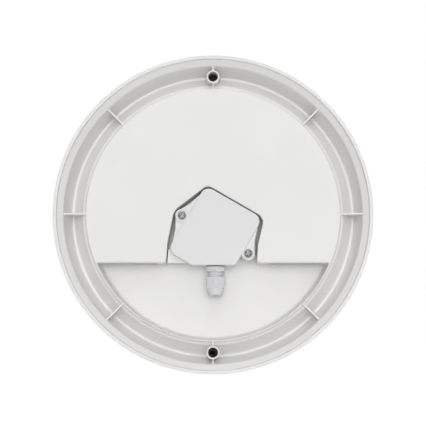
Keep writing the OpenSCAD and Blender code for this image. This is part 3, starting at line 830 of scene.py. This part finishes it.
def build_bushes():
    bushes = [revolve("bush", fillet(BUSH, 5), 56, at((0, side * FIXING_Y)))
              for side in SIDES]
    finish_piece(join("wall_bushes_piece", bushes), 40, "housing", "black_rubber",
                 "wall_bushes")


# ------------------------------------------------------------------ front cover
DEPTH, COVER_R = 80.0, 149.6
CROWN_R, CROWN_Z = 96.0, 40.0     # where the shoulder meets the crown, and where it starts
GRILLE_R, HUB_R = 94.0, 26.0
RING_WIDTH = 3.2
RING_PITCH = (GRILLE_R - HUB_R) / 8
COVER_POST_R = 125
# Hub disc and rear post: radius, z, rounding.
HUB = [(0, DEPTH - 3.6, 0), (25.9, DEPTH - 3.6, 0.4), (26.2, DEPTH - 1.0, 1.2),
       (22.6, DEPTH - 0.75, 0.6), (21.5, DEPTH - 0.15, 1.2), (0, DEPTH, 0)]
COVER_POST = [(0, 56.5, 0), (3.0, 56.5, 0.8), (3.0, 66, 0.3), (4.6, 66, 0.4),
              (4.6, 70.6, 0), (0, 70.6, 0)]


def shoulder(inset):
    """Superelliptic shoulder from the skirt to the crown, as (radius, z)."""
    out = []
    for i in range(29):
        t = pi / 2 * i / 28
        out.append((CROWN_R + (COVER_R - CROWN_R - inset) * max(0, cos(t)) ** 0.87,
                    CROWN_Z + (DEPTH - 2 - CROWN_Z - inset) * sin(t) ** 0.87))
    return out


def crown(radius):
    """Front surface of the slightly conical crown."""
    return DEPTH - 1 - radius / CROWN_R


def cover_shell():
    edge = crown(GRILLE_R)
    opening = [(GRILLE_R + 1.0, crown(GRILLE_R + 1.0)), (GRILLE_R + 0.3, edge - 0.3),
               (GRILLE_R, edge - 1.0), (GRILLE_R, edge - 3.4), (GRILLE_R + 0.4, edge - 3.7)]
    profile = [(COVER_R - 0.1, 2.8), (COVER_R, 3.6), *shoulder(0), *opening,
               *reversed(shoulder(2.4)), (COVER_R - 2.4, 3.2), (COVER_R - 2.0, 2.65),
               (COVER_R - 0.6, 2.65)]
    return revolve("front_cover_piece", profile, 256)


def grille_rings():
    rings = []
    for k in range(7):
        r1 = HUB_R + RING_PITCH * (k + 1)
        r0 = r1 - RING_WIDTH
        top = crown((r0 + r1) / 2)
        section = [(r0, top, 1.3), (r1, top, 1.3), (r1 - 0.25, top - 3.4, 0.3),
                   (r0 + 0.25, top - 3.4, 0.3)]
        rings.append(revolve("ring", fillet(section, 5), 160))
    # the outermost ring reaches into the shell
    r0, r1, top = GRILLE_R - RING_WIDTH, 95.5, crown(GRILLE_R)
    section = [(r0, top, 1.3), (r1, top - 0.02, 0), (r1, top - 3.2, 0),
               (r0 + 0.25, top - 3.2, 0.3)]
    rings.append(revolve("ring", fillet(section, 5), 200))
    return rings


def grille_spokes():
    """Spokes that follow the crown."""
    spokes = []
    for k in range(8):
        sections = []
        for radius in (20.0, 40.0, 60.0, 80.0, 95.0):
            top = crown(radius) - 0.12
            section = fillet([(-1.8, top, 1.1), (1.8, top, 1.1), (1.55, top - 3.1, 0.3),
                              (-1.55, top - 3.1, 0.3)], 4)
            sections.append([(radius, y, z) for y, z in section])
        spokes.append(turn(loft("spoke", sections), k * 45))
    return spokes


def cover_posts():
    parts = []
    for angle in DIAGONALS:
        x, y = polar(COVER_POST_R, angle)
        parts.append(revolve("post", fillet(COVER_POST, 4), 40, at((x, y))))
        # the root leans inwards to stay below the shoulder's outer surface
        parts.append(cylinder("root", (x * 0.985, y * 0.985), 4.0, 32, 69.5, 72.0))
    return parts


def build_cover():
    shell = cover_shell()
    boolean(shell, "UNION", *grille_rings(), *grille_spokes(),
            revolve("hub", fillet(HUB, 6), 128), *cover_posts())
    finish_piece(shell, 32, "cover", "cover_plastic", "front_cover")


build_housing()
build_lid()
build_lid_screws()
build_gland_body()
build_gland_nut()
build_bushes()
build_cover()

# ------------------------------------------------------------------ CAD nodes kept as they are
SLOTS = {s["node"]: s["material_slot"] for s in frame["record"]["subparts"]}
BEVELS = {  # edge rounding, mm
    "terminal_box": 0.5, "inlet_plate": 0.3, "motor_bridge": 0.4, "terminal_block": 0.4,
    "run_capacitor": 0.9, "flap_left": 0.3, "flap_right": 0.3, "gland_locknut": 0.3,
    "bridge_screws": 0.25, "inlet_screws": 0.25, "box_screws": 0.2, "capacitor_clip": 0.2,
    "stator_windings": 1.0, "impeller": 0.35, "rotor_cup": 0.4, "motor_shaft": 0.3}


def round_edges(o, width):
    weld = o.modifiers.new("weld", "WELD")
    weld.merge_threshold = 2e-6
    bevel = o.modifiers.new("bevel", "BEVEL")
    bevel.width = width * MM
    bevel.segments = 3
    bevel.limit_method = "ANGLE"
    bevel.angle_limit = radians(38)
    bevel.harden_normals = False
    bevel.use_clamp_overlap = True
    weigh_normals(o, keep_sharp=False)


for name, o in frame["nodes"].items():
    if o.hide_render:
        continue
    material = MATERIALS[SLOTS[name]]
    if not o.data.materials:
        o.data.materials.append(material)
    for material_slot in o.material_slots:
        material_slot.material = material
    if name in BEVELS:
        round_edges(o, BEVELS[name])


# ------------------------------------------------------------------ stage and world, metres
def floor_paper():
    """White paper that glows for the camera and only reflects for everything else."""
    material, tree, bsdf = node_material("floor_paper")
    set_inputs(tree, bsdf, {"Base Color": (0.86, 0.86, 0.86, 1), "Roughness": 0.9})
    glow = add_node(tree, "ShaderNodeEmission", {"Color": (1, 1, 1, 1), "Strength": 1.09})
    camera_ray = tree.nodes.new("ShaderNodeLightPath").outputs["Is Camera Ray"]
    share = add_node(tree, "ShaderNodeMath", {0: camera_ray, 1: 0.93})  # share of the glow
    share.operation = "MULTIPLY"
    blend = add_node(tree, "ShaderNodeMixShader", {
        "Fac": share.outputs[0], 1: bsdf.outputs["BSDF"], 2: glow.outputs["Emission"]})
    set_inputs(tree, tree.nodes["Material Output"], {"Surface": blend.outputs["Shader"]})
    return material


def build_floor():
    half, z = 8.0, -0.1512
    bm = bmesh.new()
    corners = ((-half, -half), (half, -half), (half, half), (-half, half))
    bm.faces.new([bm.verts.new((x, y, z)) for x, y in corners])
    floor = new_object("floor", bm)
    floor.data.materials.append(floor_paper())
    floor.visible_shadow = False


def build_world():
    """White to the camera, a weak fill light to everything else."""
    world = bpy.data.worlds.new("studio")
    SCENE.world = world
    world.use_nodes = True
    tree = world.node_tree
    camera_ray = tree.nodes.new("ShaderNodeLightPath").outputs["Is Camera Ray"]
    strength = add_node(tree, "ShaderNodeMapRange",
                        {"To Min": 0.11, "To Max": 1.0, "Value": camera_ray})
    set_inputs(tree, tree.nodes["Background"],
               {"Color": (1, 1, 1, 1), "Strength": strength.outputs["Result"]})


# ------------------------------------------------------------------ lights and camera
ORIGIN = Vector((0.0, 0.0, 0.0))
SUN_GAIN = 1.1
# Soft suns: direction from the fan to the light, strength before the gain.
SUNS = (((0, 1, 0), 1.1), ((0, 0.574, 0.819), 0.489), ((-0.407, 0.883, 0.235), 0.383),
        ((0, 0.208, -0.978), 0.325), ((0.407, 0.883, 0.235), 0.244),
        ((0, 0.883, 0.469), 0.180), ((-0.978, 0.208, 0), 0.03))


def aim(o, direction):
    o.rotation_mode = "QUATERNION"
    o.rotation_quaternion = direction.to_track_quat("-Z", "Y")


def sun(name, towards, strength):
    light = bpy.data.lights.new(name, "SUN")
    light.angle = radians(36)
    light.energy = strength
    aim(add_object(name, light), -Vector(towards))


def softbox(name, location, size, power, color):
    """Square area light aimed at the origin."""
    light = bpy.data.lights.new(name, "AREA")
    light.shape = "RECTANGLE"
    light.size = size
    light.size_y = size
    light.energy = power
    light.color = color
    o = add_object(name, light)
    o.location = location
    aim(o, ORIGIN - Vector(location))


def build_camera():
    """Camera on the wall side, slightly below the axis."""
    data = bpy.data.cameras.new("camera")
    data.lens = 118.0
    data.sensor_width = 36.0
    data.clip_start = 0.05
    data.clip_end = 50
    camera = add_object("camera", data)
    camera.location = (0.0, 1.3, -0.134)
    aim(camera, ORIGIN - Vector(camera.location))
    SCENE.camera = camera


build_floor()
build_world()
for i, (towards, strength) in enumerate(SUNS):
    sun("rear_%d" % i, towards, strength * SUN_GAIN)
softbox("key_front", (-0.8, -1.9, 1.5), size=1.4, power=26.0, color=(1.0, 0.995, 0.985))
softbox("fill_front", (0.9, -2.0, -0.02), size=1.6, power=12.0, color=(0.99, 0.995, 1.0))
build_camera()
SCENE.view_settings.view_transform = "Standard"
SCENE.view_settings.look = "None"
SCENE.view_settings.exposure = 0.0
SCENE.view_settings.gamma = 1.0
